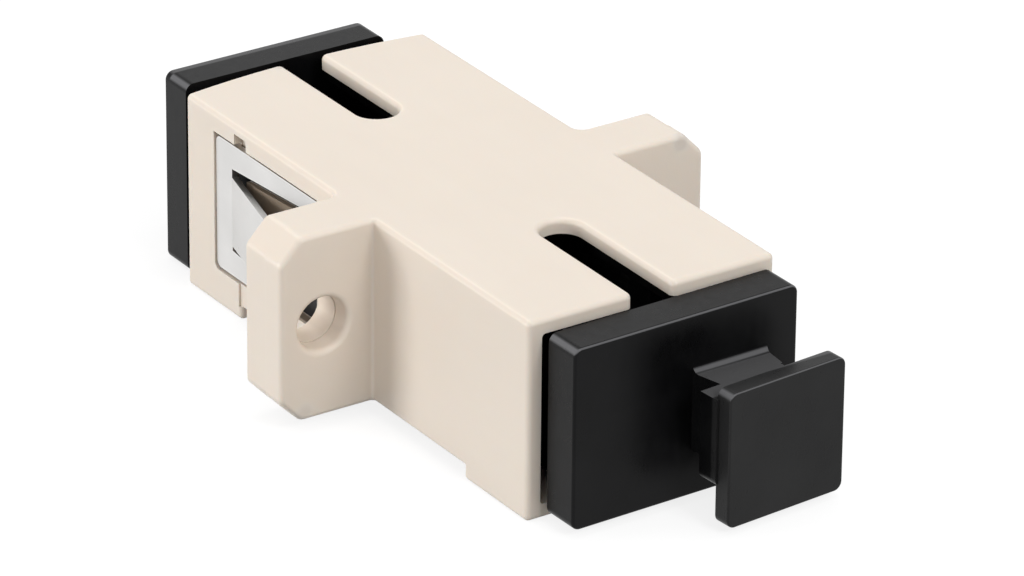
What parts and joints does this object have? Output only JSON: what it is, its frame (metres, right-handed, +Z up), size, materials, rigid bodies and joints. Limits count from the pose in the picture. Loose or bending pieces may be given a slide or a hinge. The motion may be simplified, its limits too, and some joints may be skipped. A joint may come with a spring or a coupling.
{
  "type": "sc fibre adapter",
  "caption": "Flanged push-pull fibre coupler: a moulded body with two facing ports, an aligning sleeve, a spring panel clip and pull-off dust caps.",
  "frame": {"origin": "centre of the split sleeve's bore, on the optical axis and halfway along the housing", "axes": "+Y along the optical axis towards the rear port, +X across the body through the screw ears, +Z up, out of the key slots"},
  "size_m": [0.0222, 0.0395, 0.0095],
  "materials": {
    "housing": "satin moulded beige",
    "latch_insert": "moulded black",
    "split_sleeve": "polished phosphor bronze",
    "panel_clip": "bright rolled stainless steel",
    "dust_cap": "satin soft black plastic"
  },
  "bodies": {
    "adapter": {"housing": "housing", "front_latch_insert": "latch_insert", "rear_latch_insert": "latch_insert", "split_sleeve": "split_sleeve", "panel_clip": "panel_clip"},
    "front_cap": {"front_dust_cap": "dust_cap"},
    "rear_cap": {"rear_dust_cap": "dust_cap"}
  },
  "joints": [
    {"name": "front_cap_off", "type": "slide", "parent": "adapter", "child": "front_cap", "axis": [0, -1, 0], "range_m": [0, 0.03]},
    {"name": "rear_cap_off", "type": "slide", "parent": "adapter", "child": "rear_cap", "axis": [0, 1, 0], "range_m": [0, 0.03]}
  ]
}
